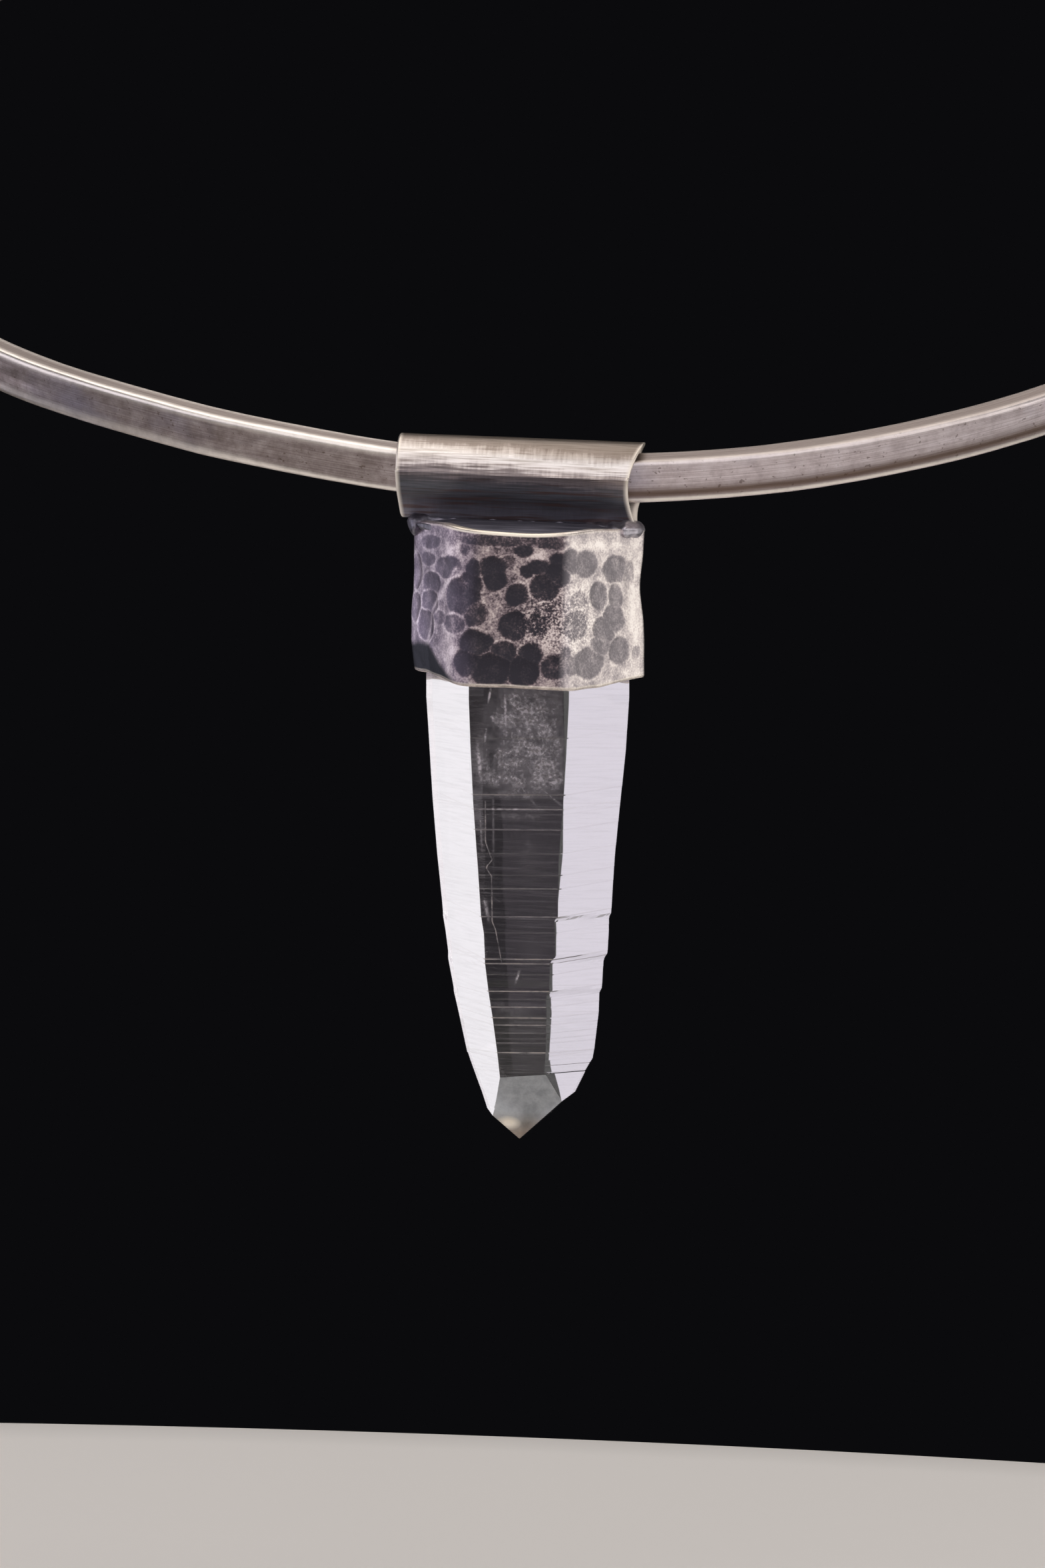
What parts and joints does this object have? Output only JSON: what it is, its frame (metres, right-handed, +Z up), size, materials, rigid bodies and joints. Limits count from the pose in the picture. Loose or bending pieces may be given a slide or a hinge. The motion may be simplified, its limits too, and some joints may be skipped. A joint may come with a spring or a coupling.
{
  "type": "quartz point pendant on a neck ring",
  "caption": "Six-sided quartz point in a hammered silver cap, hanging by a tube bail on a rigid open neck ring.",
  "frame": {"origin": "centre of the neck ring, in the plane of its wire", "axes": "+Z up along the wearer's neck, -Y towards the wearer's front, +X to the right as seen from the front; the ring slopes down 23.9 degrees to the front and opens at the back"},
  "size_m": [0.1372, 0.1318, 0.1141],
  "materials": {
    "ring_silver": "worn silver, lightly tarnished, fine lengthwise scratches",
    "cap_silver": "hammered silver, darkened in the dimples, bright on the ridges",
    "quartz": "clear natural quartz with growth lines across the faces"
  },
  "bodies": {
    "ring": {"neck_ring": "ring_silver"},
    "pendant": {"cap_and_bail": "cap_silver", "crystal": "quartz"}
  },
  "joints": [
    {"name": "pendant_swing", "type": "hinge", "parent": "ring", "child": "pendant", "pos_m": [0, -0.06134, -0.02723], "axis": [1, 0, 0], "continuous": true}
  ]
}
